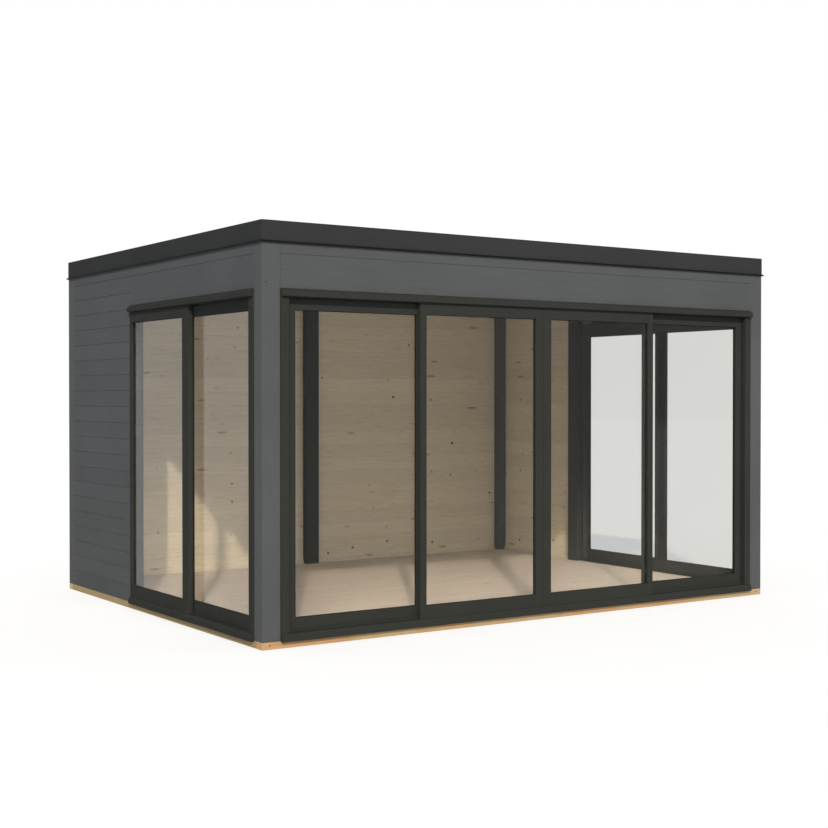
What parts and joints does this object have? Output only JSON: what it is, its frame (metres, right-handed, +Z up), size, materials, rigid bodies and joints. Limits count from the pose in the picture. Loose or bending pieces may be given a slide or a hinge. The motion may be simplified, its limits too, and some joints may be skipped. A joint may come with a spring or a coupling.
{
  "type": "garden cabin",
  "caption": "Flat-roofed timber garden cabin with a hollow room, corner posts, board walls and glazed sliding doors in the front and both sides.",
  "frame": {"origin": "on the ground under the middle of the cabin's outline", "axes": "+X to the right along the front, +Y to the back, +Z up; the front faces -Y"},
  "size_m": [4.27, 3.242, 2.52],
  "materials": {
    "painted_timber": "anthracite paint on smooth boards, satin",
    "door_timber": "dark grey paint on smooth joinery, satin",
    "roof_edge": "near-black paint on smooth boards, satin",
    "trim_metal": "black coated drip strip",
    "treated_timber": "sawn treated softwood, pale orange",
    "pine": "planed natural pine, unpainted",
    "roof_felt": "black roofing sheet with fine grit",
    "clear_glass": "clear float glass",
    "track_metal": "black anodised running track"
  },
  "bodies": {
    "cabin": {"front_left_post": "painted_timber", "front_right_post": "painted_timber", "rear_left_post": "painted_timber", "rear_right_post": "painted_timber", "back_wall": "painted_timber", "left_wall": "painted_timber", "right_wall": "painted_timber", "front_header": "painted_timber", "left_header": "painted_timber", "right_header": "painted_timber", "back_inner_post": "painted_timber", "side_inner_posts": "painted_timber", "front_jambs": "door_timber", "side_jambs": "door_timber", "door_heads": "door_timber", "door_sills": "door_timber", "door_head_trims": "door_timber", "front_fixed_stiles": "door_timber", "front_fixed_rails": "door_timber", "side_fixed_stiles": "door_timber", "side_fixed_rails": "door_timber", "long_fascias": "roof_edge", "side_fascias": "roof_edge", "drip_strips": "trim_metal", "base_bearers_long": "treated_timber", "base_bearers_side": "treated_timber", "floor_joists": "treated_timber", "floor_deck": "pine", "skirting": "pine", "rafters": "pine", "roof_deck": "pine", "roof_covering": "roof_felt", "front_fixed_glass": "clear_glass", "side_fixed_glass": "clear_glass", "door_tracks": "track_metal"},
    "front_left_sash": {"front_left_sash_stiles": "door_timber", "front_left_sash_rails": "door_timber", "front_left_sash_glass": "clear_glass"},
    "front_right_sash": {"front_right_sash_stiles": "door_timber", "front_right_sash_rails": "door_timber", "front_right_sash_glass": "clear_glass"},
    "left_sash": {"left_sash_stiles": "door_timber", "left_sash_rails": "door_timber", "left_sash_glass": "clear_glass"},
    "right_sash": {"right_sash_stiles": "door_timber", "right_sash_rails": "door_timber", "right_sash_glass": "clear_glass"}
  },
  "joints": [
    {"name": "front_left_sash_slide", "type": "slide", "parent": "cabin", "child": "front_left_sash", "axis": [1, 0, 0], "range_m": [0, 0.93]},
    {"name": "front_right_sash_slide", "type": "slide", "parent": "cabin", "child": "front_right_sash", "axis": [-1, 0, 0], "range_m": [0, 0.93]},
    {"name": "left_sash_slide", "type": "slide", "parent": "cabin", "child": "left_sash", "axis": [0, 1, 0], "range_m": [0, 0.8]},
    {"name": "right_sash_slide", "type": "slide", "parent": "cabin", "child": "right_sash", "axis": [0, 1, 0], "range_m": [0, 0.8]}
  ]
}
